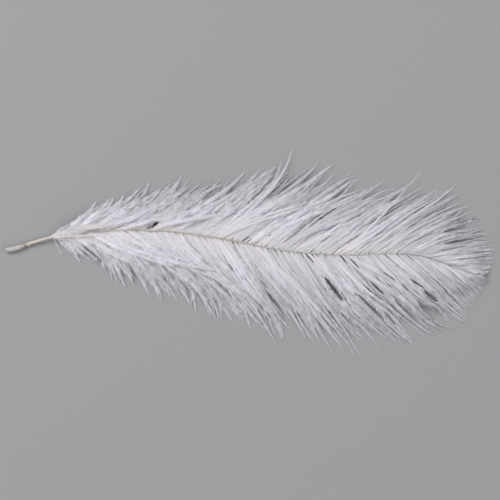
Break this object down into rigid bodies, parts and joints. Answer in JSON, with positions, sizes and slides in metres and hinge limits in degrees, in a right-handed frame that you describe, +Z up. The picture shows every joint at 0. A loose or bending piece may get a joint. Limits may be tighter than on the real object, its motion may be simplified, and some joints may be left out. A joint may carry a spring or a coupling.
{
  "type": "ostrich feather",
  "caption": "White ostrich plume lying flat: a bare cut quill that narrows into a curved shaft, with a loose vane of soft, pointed locks on each side.",
  "frame": {"origin": "middle of the plume's outline seen from above, on the surface that it lies on", "axes": "+X along the plume from the bare quill to the soft tip, +Y towards the narrower of the two vanes, +Z up"},
  "size_m": [0.2822, 0.1226, 0.0128],
  "materials": {
    "barbs": "soft, downy, slightly translucent white barbs, matt",
    "quill": "cream keratin shaft with fine lengthwise streaks and a dull sheen"
  },
  "bodies": {
    "root": {"feather": "barbs"}
  },
  "joints": []
}
